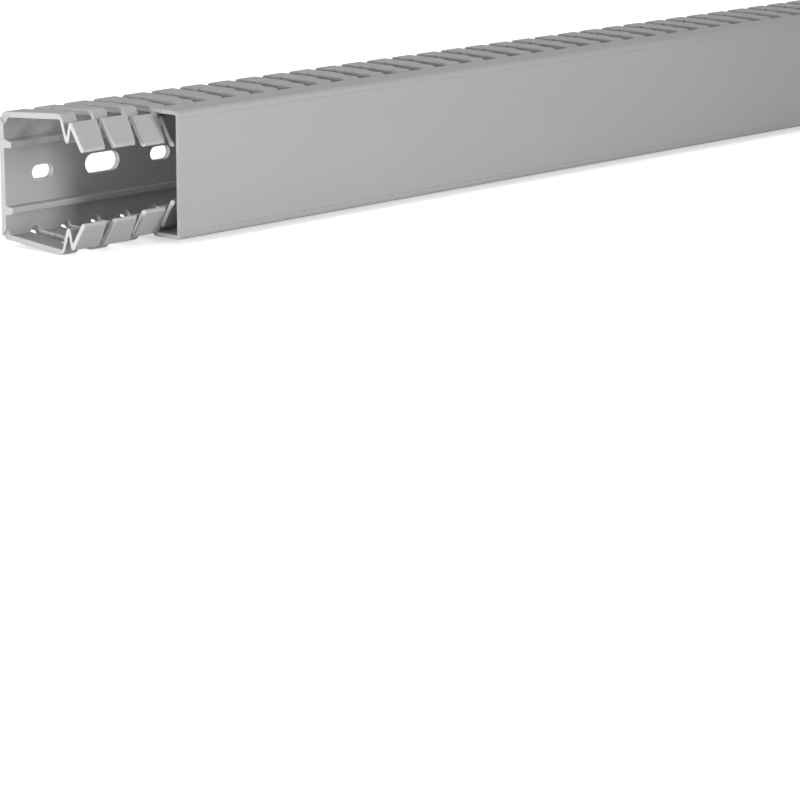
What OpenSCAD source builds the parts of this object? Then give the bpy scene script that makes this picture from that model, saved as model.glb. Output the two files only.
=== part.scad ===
// Slotted wiring duct with its clip-on cover, lying on its side.
// X runs along the duct, the back face lies in the plane Y = 0 and the cover faces -Y.
// Sections are drawn as [depth in front of the back face, height above the mid-plane].

/* [Stock] */
// Length of the base and of the cover as sold
stock_length = 500; // [300:50:1000]
// How far the cover is slid along, to leave the first fingers open
cover_shift = 37.65; // [37.65:12.5:187.65]

/* [Section] */
// Width of the duct across its two slotted sides
duct_width = 40; // [38:1:80]
// Depth from the back face to the front of the cover
duct_depth = 40; // [38:1:80]
// Thickness of the back wall
back_thickness = 1.9; // [1.6:0.1:2.4]
// Thickness of the slotted sides
side_thickness = 1.8; // [1.4:0.1:2.2]
// Radius of the long outer corners at the back
back_corner_radius = 0.6; // [0.4:0.1:1.2]
// Height of the two stiffening ribs on the back wall
rib_height = 3.3; // [2:0.1:4.5]
// Distance of each rib's inner face from the mid-plane
rib_offset = 9; // [8:0.1:11]
// Width of a rib at its root
rib_root_width = 2.9; // [2.6:0.1:3.4]
// Width of a rib at its crest
rib_crest_width = 2; // [1.4:0.1:2.3]

/* [Fingers] */
// Distance from one finger to the next
finger_pitch = 12.5; // [12.5:0.5:16]
// Place of the first finger's straight edge, from the cut end
first_finger = 2; // [1:0.1:2.6]
// Slot width between two fingers near the back
slot_width = 4.6; // [4.5:0.1:5.4]
// Extra slot width near the fold
slot_widening = 2.2; // [0.6:0.1:2.6]
// Distance from the back face to where the slot begins to widen
flare_start = 15; // [14.5:0.5:17]
// Depth over which the slot widens
flare_depth = 5; // [3:0.5:5]
// Distance of the break-off notches from the back face
notch_depth_line = 8.4; // [7:0.1:12]
// How far a break-off notch bites into the finger
notch_bite = 0.8; // [0.4:0.1:1]
// Gap between neighbouring finger heads at the fold
head_gap = 2; // [1.9:0.1:2.6]
// How much further apart the heads are at their tips
head_taper = 1.2; // [0:0.1:2]
// Outward lean of the fingers that the cover leaves free, in degrees
free_lean = 4.3; // [0:0.1:5]
// Outward lean of the free finger next to the cover, in degrees
last_lean = 2.6; // [0:0.1:5]

/* [Finger heads] */
// Distance from the cover's front face back to the fold's outer face
fold_setback = 13.3; // [12.9:0.1:14]
// Radius of the bend from the side into the fold
fold_radius = 2.5; // [2:0.1:2.6]
// Wall thickness in the fold
fold_thickness = 1.1; // [0.9:0.1:1.2]
// Depth of the snap groove below the side's outer face
groove_depth = 6.6; // [6:0.1:8]
// Width of the snap groove's floor
groove_floor = 0.45; // [0.4:0.05:0.8]
// Drop of the head's crest below the side's outer face
head_drop = 2.6; // [1.85:0.05:2.8]
// Radius of the head's crest
head_radius = 0.8; // [0.7:0.05:0.9]
// Length of the lip that leans in over the channel
lip_length = 8.8; // [8:0.1:10]
// Thickness of the lip
lip_thickness = 1.4; // [1:0.1:1.5]

/* [Cover] */
// Thickness of the cover's front plate
cover_front_thickness = 1.5; // [1.2:0.1:2]
// Thickness of the cover's flanges
cover_flange_thickness = 1.35; // [1.2:0.05:1.5]
// Radius of the cover's long front corners
cover_corner_radius = 1.5; // [0.8:0.1:1.8]
// Thickness of the hook along each flange's free edge
hook_thickness = 1.1; // [0.8:0.05:1.2]
// How far the hook reaches past the flange's inner face
hook_reach = 1.6; // [1:0.1:1.7]
// Distance from a long corner to the fine line beside it
accent_inset = 2.2; // [2:0.1:3]
// Depth of the fine lines in the cover's front face
accent_depth = 0.15; // [0.1:0.05:0.3]

/* [Screw slots] */
// Distance from a small screw slot to the next large one
screw_pitch = 25; // [25:5:50]
// Place of the first screw slot's centre, from the cut end
first_screw = 15.5; // [12:0.5:20]
// Width of a small screw slot
small_slot_width = 4.4; // [4:0.1:6]
// Length of a small screw slot
small_slot_length = 8.6; // [7:0.1:10]
// Width of a large screw slot
large_slot_width = 6.3; // [6:0.1:8]
// Length of a large screw slot
large_slot_length = 14.5; // [12:0.1:16]

/* [Hidden] */

STEPS = 3;                              // straight steps in a quarter bend
OVER = 1;                               // how far a cutter runs past a face
half_width = duct_width / 2;
start_x = -stock_length / 2;

fold_face = duct_depth - fold_setback;
leg_lean = 14;                          // lean of the leg that goes down into the groove
web_lean = 16.8;                        // lean of the web that comes back up to the crest
lip_lean = 29;                          // lean of the lip
leg_way = leg_lean - 90;
web_way = 90 - web_lean;
lip_way = lip_lean - 90;
valley_radius = 0.9;                    // round bottom of the fold, inside the channel
inner_bend_radius = 0.9;

free_fingers = floor((cover_shift - first_finger) / finger_pitch) + 1;
free_length = first_finger + finger_pitch * free_fingers - head_gap / 2;
finger_count = ceil((stock_length - first_finger) / finger_pitch);

root_radius = slot_width / 2;           // round root of a slot, drilled at 45 degrees
root_bite = 1.9;                        // how far the root reaches down the back face
root_entry = sqrt(2) * root_radius - root_bite;
root_start = back_thickness + 0.5;
seat = back_thickness / 2;              // how deep the sides are rooted in the back wall

function way(a) = [cos(a), sin(a)];
function ahead(p, a, s) = p + s * way(a);
function bend(c, r, a0, a1, n) = [for (i = [0 : n]) c + r * way(a0 + (a1 - a0) * i / n)];
function cross2(u, v) = u[0] * v[1] - u[1] * v[0];
function meet(p, a, q, b) = ahead(p, a, cross2(q - p, way(b)) / cross2(way(a), way(b)));

// Corner points of the fold, from the side's outer face to the lip's tip
bend_centre = [fold_face - fold_radius, half_width - fold_radius];
leg_top = ahead(bend_centre, leg_lean, fold_radius);
groove_z = half_width - groove_depth;
groove_back = meet(leg_top, leg_way, [0, groove_z], 0);
groove_front = groove_back + [groove_floor, 0];
crest_z = half_width - head_drop - head_radius;
crest_centre = meet(ahead(groove_front, web_way - 90, head_radius), web_way, [0, crest_z], 0);
lip_top = ahead(crest_centre, lip_way + 90, head_radius);
lip_end = ahead(lip_top, lip_way, lip_length);
tip_centre = ahead(lip_end, lip_way - 90, lip_thickness / 2);
lip_back = ahead(lip_end, lip_way - 90, lip_thickness);
web_inside = ahead(groove_front, web_way - 90, fold_thickness);
leg_inside = ahead(leg_top, leg_way - 90, fold_thickness);
valley_centre = meet(ahead(web_inside, web_way + 90, valley_radius), web_way,
                     ahead(leg_inside, leg_way + 90, valley_radius), leg_way);
side_inside = half_width - side_thickness;
inner_bend_centre = meet([0, side_inside - inner_bend_radius], 0,
                         ahead(leg_inside, leg_way - 90, inner_bend_radius), leg_way);
slot_end = crest_centre[0] - head_radius;
head_reach = tip_centre[0] + lip_thickness;

flange_inside = half_width - cover_flange_thickness;
hook_front = crest_centre[0] - head_radius - 0.4;
hook_back = hook_front - hook_thickness;
hook_tip = flange_inside - hook_reach;

// Side wall, fold and lip in one line, upper side
module side_section() {
    polygon(concat(
        [[seat, side_inside], [seat, half_width]],
        bend(bend_centre, fold_radius, 90, leg_lean, STEPS),
        [groove_back, groove_front],
        bend(crest_centre, head_radius, web_way + 90, lip_way + 90, STEPS),
        bend(tip_centre, lip_thickness / 2, lip_way + 90, lip_way - 90, STEPS),
        [meet(lip_back, lip_way, web_inside, web_way)],
        bend(valley_centre, valley_radius, web_way - 90, leg_way - 90, STEPS),
        bend(inner_bend_centre, inner_bend_radius, leg_lean, 90, STEPS)
    ));
}

// Back wall with rounded outer corners
module back_section() {
    r = back_corner_radius;
    polygon(concat(
        [[back_thickness, -half_width], [back_thickness, half_width]],
        bend([r, half_width - r], r, 90, 180, STEPS),
        bend([r, r - half_width], r, 180, 270, STEPS)
    ));
}

// One stiffening rib: the face towards the mid-plane is nearly square to the wall
module rib_section() {
    r = rib_crest_width / 6;
    top = back_thickness + rib_height;
    slant = rib_root_width - rib_crest_width - 0.2;
    polygon(concat(
        [[seat, rib_offset], [back_thickness, rib_offset]],
        bend([top - r, rib_offset + 0.2 + r], r, -90, 0, 2),
        bend([top - r, rib_offset + 0.2 + rib_crest_width - r], r, 0, 90, 2),
        [[back_thickness, rib_offset + 0.2 + rib_crest_width + slant], [seat, rib_offset + rib_root_width]]
    ));
}

// Extrudes a section along the duct, from one place to another
module along(x0, x1) {
    translate([start_x + x0, 0, 0])
        multmatrix([[0, 0, 1, 0], [-1, 0, 0, 0], [0, 1, 0, 0], [0, 0, 0, 1]])
            linear_extrude(x1 - x0) children();
}

// Curved edge along which a slot widens, from its wide end back to its narrow one
function flare(narrow, n) = [for (i = [n : -1 : 0])
    [narrow - slot_widening * (1 - cos(180 * i / n)) / 2, flare_start + flare_depth * i / n]];

// Outline of one slot, seen square to the side; edge is the next finger's straight edge
module slot_outline(edge) {
    narrow = edge - slot_width;
    wide = narrow - slot_widening;
    tip_round = 1;
    polygon(concat([
        [edge, root_start],
        [edge, notch_depth_line - notch_bite],
        [edge + notch_bite, notch_depth_line],
        [edge, notch_depth_line + notch_bite],
        [edge, head_reach - 2 * tip_round],
        [edge + tip_round / 2, head_reach - tip_round],
        [edge + tip_round, head_reach],
        [edge - head_gap - head_taper - tip_round, head_reach],
        [edge - head_gap - head_taper - tip_round / 3, head_reach - tip_round],
        [edge - head_gap - head_taper, head_reach - 2 * tip_round],
        [edge - head_gap, slot_end],
        [wide + tip_round / 2, slot_end],
        [wide, slot_end - tip_round / 2]],
        flare(narrow, STEPS), [
        [narrow, notch_depth_line + notch_bite],
        [narrow - notch_bite, notch_depth_line],
        [narrow, notch_depth_line - notch_bite],
        [narrow, root_start]]
    ));
}

// A run of the upper side from x0 to x1, with the slots of fingers first to last cut out
module slotted_side(x0, x1, first, last) {
    difference() {
        along(x0, x1) side_section();
        translate([start_x, 0, tip_centre[1] - 2 * OVER])
            mirror([0, 1, 0])
                linear_extrude(half_width - tip_centre[1] + 4 * OVER)
                    for (i = [first : last]) slot_outline(first_finger + finger_pitch * i);
    }
}

// The fingers beyond the cover's end lean outwards about the root of the side
module lean_out(angle) {
    translate([0, -back_thickness, side_inside])
        rotate([-angle, 0, 0])
            translate([0, back_thickness, -side_inside]) children();
}

module free_side() {
    last_start = free_length - finger_pitch;
    lean_out(free_lean) slotted_side(first_finger, last_start, 1, free_fingers - 1);
    lean_out(last_lean) slotted_side(last_start, free_length, free_fingers - 1, free_fingers);
}

module both_sides() {
    children();
    mirror([0, 0, 1]) children();
}

// Round roots of the slots, drilled through the long back corner at 45 degrees
module slot_roots() {
    reach_out = 4;
    reach_in = 4.2;
    for (i = [0 : finger_count])
        translate([start_x + first_finger + finger_pitch * i - root_radius, -root_entry, half_width])
            rotate([135, 0, 0])
                translate([0, 0, -reach_out])
                    cylinder(r = root_radius, h = reach_out + reach_in, $fn = 12);
}

// A long hole through the back wall
module screw_slot(x, length, width) {
    translate([start_x + x, OVER, 0])
        rotate([90, 0, 0])
            linear_extrude(back_thickness + 2 * OVER) {
                square([length - width, width], center = true);
                for (s = [-1, 1]) translate([s * (length - width) / 2, 0]) circle(d = width, $fn = 48);
            }
}

module screw_slots() {
    last_small = floor((stock_length - first_screw - small_slot_length) / (2 * screw_pitch));
    last_large = floor((stock_length - first_screw - screw_pitch - large_slot_length / 2) / (2 * screw_pitch));
    for (i = [0 : last_small])
        screw_slot(first_screw + 2 * screw_pitch * i, small_slot_length, small_slot_width);
    for (i = [0 : last_large])
        screw_slot(first_screw + screw_pitch * (2 * i + 1), large_slot_length, large_slot_width);
}

module slotted_base() {
    color([0.66, 0.66, 0.67])
        difference() {
            union() {
                along(0, stock_length) back_section();
                both_sides() along(0, stock_length) rib_section();
                both_sides() free_side();
                both_sides() slotted_side(free_length, stock_length, free_fingers, finger_count);
            }
            both_sides() slot_roots();
            screw_slots();
        }
}

// Upper half of the cover's outline, from its front face round the hook to its inner face
function cover_outline(r, hook_round, front, back, accent, fillet) = concat(
    [[front, accent - accent_depth], [front - accent_depth, accent], [front, accent + accent_depth]],
    bend([front - r, half_width - r], r, 0, 90, STEPS),
    bend([hook_back + cover_flange_thickness, flange_inside], cover_flange_thickness, 90, 180, STEPS),
    [[hook_back, hook_tip + hook_round], [hook_back + hook_round, hook_tip]],
    [[hook_front - hook_round, hook_tip], [hook_front, hook_tip + hook_round]],
    [[hook_front, flange_inside - fillet], [hook_front + fillet, flange_inside]],
    [[back - fillet, flange_inside], [back, flange_inside - fillet]]
);

module cover_section() {
    upper = cover_outline(cover_corner_radius, hook_thickness / 4, duct_depth,
                          duct_depth - cover_front_thickness, half_width - accent_inset, 0.4);
    lower = [for (i = [len(upper) - 1 : -1 : 0]) [upper[i][0], -upper[i][1]]];
    polygon(concat(upper, lower));
}

module cover() {
    color([0.69, 0.69, 0.70])
        along(cover_shift, cover_shift + stock_length) cover_section();
}

slotted_base();
cover();
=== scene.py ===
"""Slotted wiring duct with its clip-on cover, dressed and lit on a pale floor."""

import logging
import math
from dataclasses import dataclass, field
from enum import Enum
from typing import Any, Callable

import bmesh
import bpy
from mathutils import Matrix, Vector


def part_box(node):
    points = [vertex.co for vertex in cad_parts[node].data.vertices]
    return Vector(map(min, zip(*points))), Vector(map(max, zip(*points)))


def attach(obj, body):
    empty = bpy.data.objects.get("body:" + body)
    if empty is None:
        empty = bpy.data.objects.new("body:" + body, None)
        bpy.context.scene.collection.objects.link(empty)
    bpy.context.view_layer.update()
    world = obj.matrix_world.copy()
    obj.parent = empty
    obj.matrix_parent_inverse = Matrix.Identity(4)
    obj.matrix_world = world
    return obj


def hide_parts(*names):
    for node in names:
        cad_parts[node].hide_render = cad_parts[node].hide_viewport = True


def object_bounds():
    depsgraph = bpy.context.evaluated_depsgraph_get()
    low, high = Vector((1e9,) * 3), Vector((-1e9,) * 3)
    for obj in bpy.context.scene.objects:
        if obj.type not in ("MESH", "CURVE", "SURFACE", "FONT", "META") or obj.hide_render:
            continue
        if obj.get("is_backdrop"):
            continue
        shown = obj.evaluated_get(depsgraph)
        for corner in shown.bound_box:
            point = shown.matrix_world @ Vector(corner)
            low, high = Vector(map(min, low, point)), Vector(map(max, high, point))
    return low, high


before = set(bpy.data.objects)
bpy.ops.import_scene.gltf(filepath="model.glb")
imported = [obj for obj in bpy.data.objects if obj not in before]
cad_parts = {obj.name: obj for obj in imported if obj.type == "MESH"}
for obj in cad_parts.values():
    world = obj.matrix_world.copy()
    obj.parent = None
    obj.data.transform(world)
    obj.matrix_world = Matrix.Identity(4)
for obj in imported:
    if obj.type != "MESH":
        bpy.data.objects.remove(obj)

log = logging.getLogger("duct")

MM = 0.001
# A point this near to a place counts as being there.
TOLERANCE = 0.01 * MM
# Points this near to each other are joined.
MERGE_DISTANCE = 0.002 * MM
# A face looks along an axis where its normal has at least this share on it.
SQUARE = 0.9
# Edges flatter than this are shaded smooth.
SMOOTH_BELOW = math.radians(32.0)
# Blender's noise runs about this value.
NOISE_MIDDLE = 0.5

Colour = tuple[float, float, float]
Point = tuple[float, float, float]
Range = tuple[float, float]


def opaque(colour: Colour, share: float = 1.0) -> tuple[float, float, float, float]:
    """A colour times a share, with full alpha."""
    return (colour[0] * share, colour[1] * share, colour[2] * share, 1.0)


def grey(level: float) -> tuple[float, float, float, float]:
    """A neutral grey with full alpha."""
    return opaque((level, level, level))


class Side(Enum):
    """The two slotted sides of the duct, by the sign of Z."""

    UPPER = 1.0
    LOWER = -1.0


class Lamp(Enum):
    """The soft lamps that light the duct."""

    END_WINDOW = "end_window"
    FRONT_PANEL = "front_panel"
    CEILING = "ceiling"
    BACK_PANEL = "back_panel"


class Pattern(Enum):
    """Noise in the vinyl: waves a metre along X, Y and Z, and layers of finer noise."""

    STREAKS = ((5.0, 1300.0, 1300.0), 3.0)
    FINE_STREAKS = ((14.0, 5200.0, 5200.0), 2.0)
    CLOUDS = ((22.0, 60.0, 60.0), 3.0)
    GRAIN = ((5200.0, 5200.0, 5200.0), 2.0)
    SHEAR = ((4200.0, 900.0, 350.0), 2.0)


# ---------------------------------------------------------------- shader maths


@dataclass(frozen=True)
class Wire:
    """A node socket that can be used in plain arithmetic."""

    graph: "Graph"
    socket: bpy.types.NodeSocket

    def _maths(self, operation: str, left: Any, right: Any) -> "Wire":
        """Add one Math node and return its result."""
        return self.graph.add("ShaderNodeMath", {"operation": operation}, {0: left, 1: right})

    def __add__(self, other: Any) -> "Wire":
        """Sum of two values."""
        return self._maths("ADD", self, other)

    def __sub__(self, other: Any) -> "Wire":
        """Difference of two values."""
        return self._maths("SUBTRACT", self, other)

    def __rsub__(self, other: Any) -> "Wire":
        """Difference with the number on the left."""
        return self._maths("SUBTRACT", other, self)

    def __mul__(self, other: Any) -> "Wire":
        """Product of two values."""
        return self._maths("MULTIPLY", self, other)

    def __abs__(self) -> "Wire":
        """Size of a value without its sign."""
        return self._maths("ABSOLUTE", self, 0.0)

    def ramp(self, ends: Range) -> "Wire":
        """Rescale a range to 0..1, with soft ends.

        Args:
            ends: Value that becomes 0 and value that becomes 1.

        Returns:
            The rescaled value.
        """
        settings = {"interpolation_type": "SMOOTHSTEP"}
        inputs = {0: self, 1: ends[0], 2: ends[1], 3: 0.0, 4: 1.0}
        return self.graph.add("ShaderNodeMapRange", settings, inputs)


@dataclass
class Graph:
    """The node tree of one material or of the world."""

    tree: bpy.types.NodeTree

    def add(
        self, kind: str, settings: dict[str, Any], inputs: dict[Any, Any], output: Any = 0
    ) -> Wire:
        """Add a node of any kind.

        Args:
            kind: Blender's name for the node type.
            settings: Node settings, set before the sockets.
            inputs: Values or wires by socket name or number.
            output: Name or number of the socket to return.

        Returns:
            The chosen output as a wire.
        """
        node = self.tree.nodes.new(kind)
        for name, value in settings.items():
            setattr(node, name, value)
        for key, value in inputs.items():
            self.feed(node.inputs[key], value)
        return Wire(self, node.outputs[output])

    def feed(self, socket: bpy.types.NodeSocket, value: Any) -> None:
        """Link a wire to a socket, or set the socket's own value."""
        if isinstance(value, Wire):
            self.tree.links.new(value.socket, socket)
        else:
            socket.default_value = value

    def close(self, kind: str, surface: Wire) -> None:
        """Join a shader to the tree's output node."""
        output = self.tree.nodes.new(kind)
        self.feed(output.inputs["Surface"], surface)

    def blend(self, factor: Any, first: Any, second: Any) -> Wire:
        """Mix two colours.

        Args:
            factor: Share of the second colour.
            first: Colour at factor 0.
            second: Colour at factor 1.

        Returns:
            The mixed colour.
        """
        settings = {"data_type": "RGBA", "blend_type": "MIX"}
        return self.add("ShaderNodeMix", settings, {0: factor, 6: first, 7: second}, 2)

    def axis(self, vector: Wire, number: int) -> Wire:
        """One axis of a vector, by its number."""
        return self.add("ShaderNodeSeparateXYZ", {}, {0: vector}, number)


# ---------------------------------------------------------------- finishes


@dataclass(frozen=True)
class ExtrudedVinyl:
    """Grey rigid vinyl, drawn out along X and punched square to its walls.

    Attributes:
        name: Name of the material.
        body: Colour of the drawn faces.
        cut: Colour of the cut faces, as far as the finger heads: lighter than the body, partly
            from the whitening of punched vinyl and partly as painted light from the open end.
        head_cut: Colour of the cut faces on the finger heads, lighter still as painted light
            where the open end lights them.
        rim: Colour of the painted highlight that the sharp edges tend to.
        rim_share: How far they go towards it.
        rim_radius: Radius over which an edge is shaded round.
        rim_width: Radius over which an edge shows its painted highlight.
        rim_likeness: Likeness of round and flat normal, from full rim to none.
        rim_samples: Rays that find each edge.
        cut_facing: Share of the normal along X, from a drawn face to a cut one.
        head_fade: Depths between which the cut colours change over to the heads' painted light.
        tints: Weight of the clouds, streaks and fine streaks in the colour.
        tint_range: Noise from the darkest to the lightest shade.
        shades: Darkest and lightest share of the body colour.
        shear_tint: Darkening by the shear marks on cut faces.
        shear_range: Noise from no shear mark to a full one.
        roughness: Roughness of the drawn faces.
        dullness: Roughness added by a cut, by the clouds and by the grain.
        streak_depth: Depth of the streaks.
        fine_share: Depth of the fine streaks, in streak depths.
        shear_share: Depth of the shear marks, in streak depths.
        grain_depth: Depth of the grain.
        noise_roughness: Weight of the finer layers in each noise.
        ior: Index of refraction.
    """

    name: str
    body: Colour
    cut: Colour
    head_cut: Colour
    rim: Colour
    rim_share: float = 0.8
    rim_radius: float = 0.35 * MM
    rim_width: float = 0.55 * MM
    rim_likeness: Range = (0.86, 0.995)
    rim_samples: int = 4
    cut_facing: Range = (0.35, 0.75)
    head_fade: Range = (25.0 * MM, 27.0 * MM)
    tints: tuple[float, float, float] = (0.10, 0.09, 0.05)
    tint_range: Range = (0.38, 0.62)
    shades: Range = (0.965, 1.035)
    shear_tint: float = 0.06
    shear_range: Range = (0.3, 0.7)
    roughness: float = 0.46
    dullness: tuple[float, float, float] = (0.16, 0.10, 0.12)
    streak_depth: float = 0.012 * MM
    fine_share: float = 0.4
    shear_share: float = 2.0
    grain_depth: float = 0.006 * MM
    noise_roughness: float = 0.55
    ior: float = 1.5

    def _noise(self, graph: Graph, place: Wire, pattern: Pattern) -> Wire:
        """Noise stretched by its own scale on each axis.

        Args:
            graph: Node tree to build in.
            place: Object coordinates in metres.
            pattern: Scale and detail of the noise.

        Returns:
            Values about 0.
        """
        scale, detail = pattern.value
        mapping = {"Vector": place, "Scale": scale}
        turned = graph.add("ShaderNodeMapping", {"vector_type": "POINT"}, mapping)
        inputs = {
            "Vector": turned,
            "Scale": 1.0,
            "Detail": detail,
            "Roughness": self.noise_roughness,
        }
        return graph.add("ShaderNodeTexNoise", {"noise_dimensions": "3D"}, inputs) - NOISE_MIDDLE

    def _rims(self, graph: Graph) -> Wire:
        """Find the sharp edges, which get a painted highlight.

        Args:
            graph: Node tree to build in.

        Returns:
            1 along an edge, 0 away from it.
        """
        settings = {"samples": self.rim_samples}
        broad = graph.add("ShaderNodeBevel", settings, {"Radius": self.rim_width})
        flat = graph.add("ShaderNodeNewGeometry", {}, {}, "Normal")
        product = {"operation": "DOT_PRODUCT"}
        likeness = graph.add("ShaderNodeVectorMath", product, {0: broad, 1: flat}, "Value")
        return 1.0 - likeness.ramp(self.rim_likeness)

    def _colour(
        self, graph: Graph, place: Wire, noise: dict[Pattern, Wire], punched: Wire
    ) -> Wire:
        """Colour of drawn faces, cut faces and edges, with a painted highlight on the edges and
        painted light on the cut faces.

        Args:
            graph: Node tree to build in.
            place: Object coordinates in metres.
            noise: The noise patterns.
            punched: 1 on a cut face, 0 on a drawn one.

        Returns:
            The base colour.
        """
        clouds, streaks, fine = self.tints
        tone = noise[Pattern.CLOUDS] * clouds + noise[Pattern.STREAKS] * streaks
        tone = tone + noise[Pattern.FINE_STREAKS] * fine
        dark, light = (opaque(self.body, share) for share in self.shades)
        shade = graph.blend((tone + NOISE_MIDDLE).ramp(self.tint_range), dark, light)
        # Sharp edges are painted lighter towards the rim colour: a painted highlight.
        body = graph.blend(self._rims(graph) * self.rim_share, shade, opaque(self.rim))
        # Cut faces on the finger heads are painted lighter than those further back: painted
        # light from the open end, beside the whitening of the cut.
        heads = (0.0 - graph.axis(place, 1)).ramp(self.head_fade)
        whitened_and_lit = graph.blend(heads, opaque(self.cut), opaque(self.head_cut))
        sheared = (noise[Pattern.SHEAR] + NOISE_MIDDLE).ramp(self.shear_range)
        marks = sheared * self.shear_tint
        return graph.blend(punched, body, graph.blend(marks, whitened_and_lit, grey(0.0)))

    def _relief(self, noise: dict[Pattern, Wire], punched: Wire) -> Wire:
        """Height of the streaks, shear marks and grain.

        Args:
            noise: The noise patterns.
            punched: 1 on a cut face, 0 on a drawn one.

        Returns:
            The height in metres.
        """
        drawn = noise[Pattern.STREAKS] * self.streak_depth
        drawn = drawn + noise[Pattern.FINE_STREAKS] * (self.fine_share * self.streak_depth)
        sheared = noise[Pattern.SHEAR] * (punched * (self.shear_share * self.streak_depth))
        grain = noise[Pattern.GRAIN] * self.grain_depth
        return drawn * (1.0 - punched) + sheared + grain

    def build(self) -> bpy.types.Material:
        """Build the material.

        Returns:
            The finished material.
        """
        material = bpy.data.materials.new(self.name)
        material.use_nodes = True
        graph = Graph(material.node_tree)
        graph.tree.nodes.clear()

        place = graph.add("ShaderNodeTexCoord", {}, {}, "Object")
        facing = graph.add("ShaderNodeTexCoord", {}, {}, "Normal")
        punched = abs(graph.axis(facing, 0)).ramp(self.cut_facing)
        noise = {pattern: self._noise(graph, place, pattern) for pattern in Pattern}

        colour = self._colour(graph, place, noise, punched)
        by_cut, by_clouds, by_grain = self.dullness
        dull = punched * by_cut + noise[Pattern.CLOUDS] * by_clouds
        dull = dull + noise[Pattern.GRAIN] * by_grain + self.roughness
        settings = {"samples": self.rim_samples}
        soft = graph.add("ShaderNodeBevel", settings, {"Radius": self.rim_radius})
        height = self._relief(noise, punched)
        bumps = {"Strength": 1.0, "Distance": 1.0, "Height": height, "Normal": soft}
        bump = graph.add("ShaderNodeBump", {}, bumps)

        inputs = {"Base Color": colour, "Roughness": dull, "Normal": bump, "IOR": self.ior}
        surface = graph.add("ShaderNodeBsdfPrincipled", {}, inputs)
        graph.close("ShaderNodeOutputMaterial", surface)
        return material


PUNCHED_VINYL = ExtrudedVinyl(
    name="punched_vinyl",
    body=(0.420, 0.417, 0.427),
    # Lighter cut colours: partly the whitening of the cut, partly painted light from the open
    # end.
    cut=(0.52, 0.517, 0.525),
    head_cut=(0.62, 0.618, 0.624),
    # Painted highlight along the sharp edges.
    rim=(0.82, 0.817, 0.825),
)
COVER_VINYL = ExtrudedVinyl(
    name="cover_vinyl",
    body=(0.420, 0.417, 0.427),
    # Lighter cut colour: partly the whitening of the cut, partly painted light from the open
    # end.
    cut=(0.44, 0.437, 0.447),
    head_cut=(0.44, 0.437, 0.447),
    # Painted highlight along the sharp edges.
    rim=(0.50, 0.497, 0.507),
)


@dataclass(frozen=True)
class PaleFloor:
    """Matte floor that reads as white round the duct and keeps its shadow.

    Attributes:
        name: Name of the material.
        paint: Grey level that the duct's own light bounces off.
        seen_paint: Grey level that the camera sees lit.
        seen_glow: Light added to that for the camera alone.
    """

    name: str = "pale_floor"
    paint: float = 0.80
    seen_paint: float = 0.92
    seen_glow: float = 0.56

    def build(self) -> bpy.types.Material:
        """Build the material.

        Returns:
            The finished material.
        """
        material = bpy.data.materials.new(self.name)
        material.use_nodes = True
        graph = Graph(material.node_tree)
        graph.tree.nodes.clear()
        seen = graph.add("ShaderNodeLightPath", {}, {}, "Is Camera Ray")
        plain = graph.add("ShaderNodeBsdfDiffuse", {}, {"Color": grey(self.paint)})
        lit = graph.add("ShaderNodeBsdfDiffuse", {}, {"Color": grey(self.seen_paint)})
        light = {"Color": grey(1.0), "Strength": self.seen_glow}
        glow = graph.add("ShaderNodeEmission", {}, light)
        shown = graph.add("ShaderNodeAddShader", {}, {0: lit, 1: glow})
        mixed = graph.add("ShaderNodeMixShader", {}, {0: seen, 1: plain, 2: shown})
        graph.close("ShaderNodeOutputMaterial", mixed)
        return material


# ---------------------------------------------------------------- modelling


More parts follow.
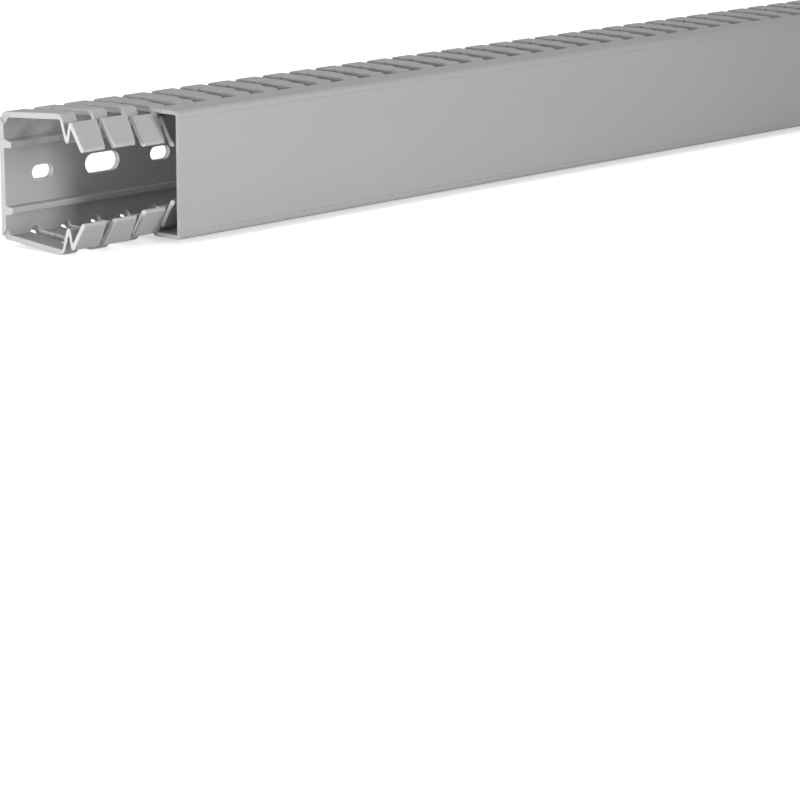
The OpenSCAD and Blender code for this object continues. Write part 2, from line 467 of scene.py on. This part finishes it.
@dataclass
class Workpiece:
    """A block of stock, shaped in edit mode.

    Attributes:
        name: Name of the piece.
        low: Lowest corner of the block.
        high: Highest corner of the block.
        thing: The object being shaped.
    """

    name: str
    low: Vector
    high: Vector
    thing: bpy.types.Object = field(init=False)

    def __post_init__(self) -> None:
        """Add the block at its size and place, and start editing it."""
        bpy.ops.object.select_all(action="DESELECT")
        middle = (self.low + self.high) / 2
        bpy.ops.mesh.primitive_cube_add(size=1.0, location=middle, scale=self.high - self.low)
        self.thing = bpy.context.active_object
        self.thing.name = self.name
        self.thing.data.name = self.name
        bpy.ops.object.transform_apply(location=True, rotation=True, scale=True)
        bpy.ops.object.mode_set(mode="EDIT")
        bpy.ops.mesh.select_all(action="DESELECT")

    def pick_faces(self, test: Callable[[Vector, Vector], bool]) -> None:
        """Select the faces that pass a test.

        Args:
            test: Takes a face's middle and its normal.
        """
        bpy.ops.mesh.select_mode(type="FACE")
        bpy.ops.mesh.select_all(action="DESELECT")
        shape = bmesh.from_edit_mesh(self.thing.data)
        for face in shape.faces:
            face.select_set(test(face.calc_center_median(), face.normal))
        bmesh.update_edit_mesh(self.thing.data)

    def pick_edges(self, test: Callable[[Vector, Vector], bool]) -> int:
        """Select the edges that pass a test.

        Args:
            test: Takes an edge's two ends.

        Returns:
            How many edges are selected.
        """
        bpy.ops.mesh.select_mode(type="EDGE")
        bpy.ops.mesh.select_all(action="DESELECT")
        shape = bmesh.from_edit_mesh(self.thing.data)
        for edge in shape.edges:
            edge.select_set(test(edge.verts[0].co, edge.verts[1].co))
        count = sum(edge.select for edge in shape.edges)
        bmesh.update_edit_mesh(self.thing.data)
        return count

    def cut(self, point: Vector, normal: Vector) -> None:
        """Score the whole piece along a plane."""
        bpy.ops.mesh.select_all(action="SELECT")
        bpy.ops.mesh.bisect(plane_co=point, plane_no=normal)

    def extrude(self, offset: Vector) -> None:
        """Pull the selected faces out by an offset."""
        bpy.ops.mesh.extrude_region_move(TRANSFORM_OT_translate={"value": offset})

    def shift(self, offset: Vector) -> None:
        """Move what is selected."""
        bpy.ops.transform.translate(value=offset)

    def round_edges(self, radius: float, segments: int) -> None:
        """Round the selected edges."""
        bpy.ops.mesh.bevel(
            offset=radius, segments=segments, affect="EDGES", profile=0.5, clamp_overlap=True
        )

    def finish(self) -> bpy.types.Object:
        """Close the piece, leave edit mode and shade its roundings smooth.

        Returns:
            The finished object, at the origin.
        """
        bpy.ops.mesh.select_all(action="SELECT")
        bpy.ops.mesh.remove_doubles(threshold=MERGE_DISTANCE)
        bpy.ops.mesh.normals_make_consistent(inside=False)
        bpy.ops.object.mode_set(mode="OBJECT")
        bpy.ops.object.shade_smooth_by_angle(angle=SMOOTH_BELOW)
        return self.thing


# ---------------------------------------------------------------- the duct


@dataclass
class FingeredBase:
    """The slotted base: its solid has the right shape and takes the vinyl finish.

    Attributes:
        finish: Material of the base.
        node: The solid that it is.
    """

    finish: bpy.types.Material
    node: str = "slotted_base"

    def dress(self) -> bpy.types.Object:
        """Put the finish on the base.

        Returns:
            The base's object.
        """
        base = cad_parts[self.node]
        if not base.material_slots:
            base.data.materials.append(self.finish)
        for holder in base.material_slots:
            holder.link = "OBJECT"
            holder.material = self.finish
        return base


@dataclass
class ClipOnCover:
    """The cover: a front plate whose two flanges hook behind the finger heads.

    Attributes:
        finish: Material of the cover.
        front_thickness: Thickness of the front plate.
        flange_thickness: Thickness of the two flanges.
        corner_radius: Outer radius of the two front corners.
        hook_thickness: Thickness of the hooks, along Y.
        hook_reach: How far the hooks stand in from the flanges.
        hook_round: Radius of the hooks' tips.
        fillet: Radius of the inner corners.
        accent_inset: Distance of each accent line from its corner.
        accent_depth: Depth of the accent lines, and half their width.
        rounding_left: Flat left at the back of the flanges, beside their rounding.
        large_segments: Flats in the rounding of a corner.
        small_segments: Flats in the rounding of a hook or an inner corner.
        node: The solid that it stands for.
    """

    finish: bpy.types.Material
    front_thickness: float = 1.5 * MM
    flange_thickness: float = 1.35 * MM
    corner_radius: float = 1.5 * MM
    hook_thickness: float = 1.1 * MM
    hook_reach: float = 1.6 * MM
    hook_round: float = 0.26 * MM
    fillet: float = 0.4 * MM
    accent_inset: float = 2.2 * MM
    accent_depth: float = 0.15 * MM
    rounding_left: float = 0.05 * MM
    large_segments: int = 6
    small_segments: int = 3
    node: str = "cover"

    def _raise_flanges(self, work: Workpiece, half: float, back: float) -> None:
        """Pull both flanges and their hooks out of the front plate.

        Args:
            work: The front plate being shaped.
            half: Half the cover's width.
            back: Place in Y of the flanges' free edges.
        """
        inside = half - self.flange_thickness
        plate_back = work.high.y
        for side in Side:
            work.cut(Vector((0.0, 0.0, side.value * inside)), Vector((0.0, 0.0, 1.0)))
        work.pick_faces(lambda middle, normal: normal.y > SQUARE and abs(middle.z) > inside)
        work.extrude(Vector((0.0, back - plate_back, 0.0)))
        edge = back - self.hook_thickness
        work.cut(Vector((0.0, edge, 0.0)), Vector((0.0, 1.0, 0.0)))
        for side in Side:
            work.pick_faces(
                lambda middle, normal: normal.z * side.value < -SQUARE
                and middle.z * side.value > 0.0
                and middle.y > edge
            )
            work.extrude(Vector((0.0, 0.0, -side.value * self.hook_reach)))

    def _score_accents(self, work: Workpiece, half: float) -> None:
        """Sink a fine line beside each long corner of the front face.

        Args:
            work: The cover being shaped.
            half: Half the cover's width.
        """
        front = work.low.y
        for side in Side:
            middle = side.value * (half - self.accent_inset)
            for step in (-self.accent_depth, 0.0, self.accent_depth):
                work.cut(Vector((0.0, 0.0, middle + step)), Vector((0.0, 0.0, 1.0)))
            work.pick_edges(
                lambda a, b: max(abs(a.z - middle), abs(b.z - middle)) < TOLERANCE
                and max(abs(a.y - front), abs(b.y - front)) < TOLERANCE
            )
            work.shift(Vector((0.0, self.accent_depth, 0.0)))

    def _long_edges(
        self, work: Workpiece, y: float, z: float, radius: float, segments: int
    ) -> None:
        """Round the two long edges at a place in the section.

        Args:
            work: The cover being shaped.
            y: The edges' place in Y.
            z: Their distance from the mid-plane.
            radius: Radius of the rounding.
            segments: Flats that make the rounding.
        """

        def here(point: Vector) -> bool:
            """True at the wanted place in the section."""
            return abs(point.y - y) < TOLERANCE and abs(abs(point.z) - z) < TOLERANCE

        if work.pick_edges(lambda a, b: here(a) and here(b)):
            work.round_edges(radius, segments)

    def build(self) -> bpy.types.Object:
        """Model the cover where its solid lies and put it on the cover's body.

        Returns:
            The finished cover.
        """
        low, high = (Vector(corner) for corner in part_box(self.node))
        half = high.z
        inside = half - self.flange_thickness
        plate_back = low.y + self.front_thickness
        work = Workpiece("clip_on_cover", Vector(low), Vector((high.x, plate_back, high.z)))
        self._raise_flanges(work, half, high.y)
        self._score_accents(work, half)
        hook_front = high.y - self.hook_thickness
        hook_tip = inside - self.hook_reach
        heel = self.flange_thickness - self.rounding_left
        many, few = self.large_segments, self.small_segments
        self._long_edges(work, low.y, half, self.corner_radius, many)
        self._long_edges(work, high.y, half, heel, many)
        self._long_edges(work, high.y, hook_tip, self.hook_round, few)
        self._long_edges(work, hook_front, hook_tip, self.hook_round, few)
        self._long_edges(work, hook_front, inside, self.fillet, few)
        self._long_edges(work, plate_back, inside, self.fillet, few)
        cover = work.finish()
        cover.data.materials.append(self.finish)
        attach(cover, "cover")
        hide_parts(self.node)
        return cover


# ---------------------------------------------------------------- the studio


@dataclass(frozen=True)
class LampPlan:
    """Where a square area lamp hangs, what it points at, its size and its power in watts."""

    lamp: Lamp
    place: Point
    target: Point
    size: float
    watts: float

    def hang(self) -> None:
        """Hang the lamp, out of the camera's sight."""
        light = bpy.data.lights.new(self.lamp.value, "AREA")
        light.shape = "SQUARE"
        light.size = self.size
        light.energy = self.watts
        holder = bpy.data.objects.new(self.lamp.value, light)
        bpy.context.scene.collection.objects.link(holder)
        holder.location = self.place
        holder.visible_camera = False
        aim = Vector(self.target) - Vector(self.place)
        holder.rotation_euler = aim.to_track_quat("-Z", "Y").to_euler()


LAMP_PLANS = (
    LampPlan(Lamp.END_WINDOW, (-0.75, -0.08, 0.05), (-0.25, 0.0, 0.0), 0.16, 2.3),
    LampPlan(Lamp.FRONT_PANEL, (0.04, -0.80, 0.17), (-0.866, -0.377, 0.05), 0.34, 5.5),
    LampPlan(Lamp.CEILING, (0.05, 0.30, 1.6), (0.0, 0.0, 0.0), 1.4, 14.0),
    LampPlan(Lamp.BACK_PANEL, (-0.25, 1.30, 0.42), (0.0, 0.0, 0.0), 0.8, 9.0),
)


@dataclass
class Studio:
    """Floor, lamps, world and camera round the duct.

    Attributes:
        floor_z: Height of the floor.
        floor_size: Length of its sides.
        sky: Strength of the world's light.
        eye: Place of the camera.
        forward: Where the camera looks.
        up: Its upward direction.
        lens: Its focal length in millimetres.
        sensor: Its sensor's width in millimetres.
        sight: How far it sees.
    """

    floor_z: float
    floor_size: float = 12.0
    sky: float = 0.18
    eye: Point = (-0.9469, -0.8085, 0.1742)
    forward: Point = (0.71669, 0.66023, -0.22468)
    up: Point = (0.16525, 0.15223, 0.97443)
    lens: float = 157.43
    sensor: float = 36.0
    sight: float = 50.0

    def lay_floor(self) -> None:
        """Lay the floor under the duct."""
        bpy.ops.object.select_all(action="DESELECT")
        place = (0.0, 0.0, self.floor_z)
        bpy.ops.mesh.primitive_plane_add(size=self.floor_size, location=place)
        floor = bpy.context.active_object
        floor.name = "floor"
        floor.data.materials.append(PaleFloor().build())
        floor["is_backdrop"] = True

    def paint_sky(self) -> None:
        """Fill the world with even light, and show it white to the camera."""
        world = bpy.data.worlds.new("soft_sky")
        bpy.context.scene.world = world
        world.use_nodes = True
        graph = Graph(world.node_tree)
        graph.tree.nodes.clear()
        seen = graph.add("ShaderNodeLightPath", {}, {}, "Is Camera Ray")
        even = graph.add("ShaderNodeBackground", {}, {"Color": grey(1.0), "Strength": self.sky})
        shown = graph.add("ShaderNodeBackground", {}, {"Color": grey(1.0), "Strength": 1.0})
        mixed = graph.add("ShaderNodeMixShader", {}, {0: seen, 1: even, 2: shown})
        graph.close("ShaderNodeOutputWorld", mixed)

    def place_camera(self) -> None:
        """Stand the camera off the open end, a little above the duct."""
        camera = bpy.data.cameras.new("view")
        camera.sensor_width = self.sensor
        camera.lens = self.lens
        camera.clip_end = self.sight
        holder = bpy.data.objects.new("view", camera)
        bpy.context.scene.collection.objects.link(holder)
        back = -Vector(self.forward).normalized()
        right = Vector(self.up).cross(back).normalized()
        top = back.cross(right)
        turn = Matrix((right, top, back)).transposed().to_4x4()
        holder.matrix_world = Matrix.Translation(Vector(self.eye)) @ turn
        bpy.context.scene.camera = holder

    def set_up(self) -> None:
        """Build the whole studio."""
        self.place_camera()
        self.lay_floor()
        for plan in LAMP_PLANS:
            plan.hang()
        self.paint_sky()
        bpy.context.scene.view_settings.view_transform = "Standard"


# ---------------------------------------------------------------- assembly


def plain(box: Any) -> list[list[float]]:
    """A box's two corners as plain numbers."""
    return [[float(value) for value in corner] for corner in box]


def main() -> None:
    """Dress the duct, set up the studio and report each piece."""
    logging.basicConfig(level=logging.INFO, format="%(message)s")
    solid_box = plain(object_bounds())
    base = FingeredBase(PUNCHED_VINYL.build()).dress()
    log.info("dressed %s", base.name)
    cover = ClipOnCover(COVER_VINYL.build()).build()
    log.info("built %s with %d faces", cover.name, len(cover.data.polygons))
    Studio(floor_z=solid_box[0][2]).set_up()
    log.info("studio ready")


if __name__ == "__main__":
    main()
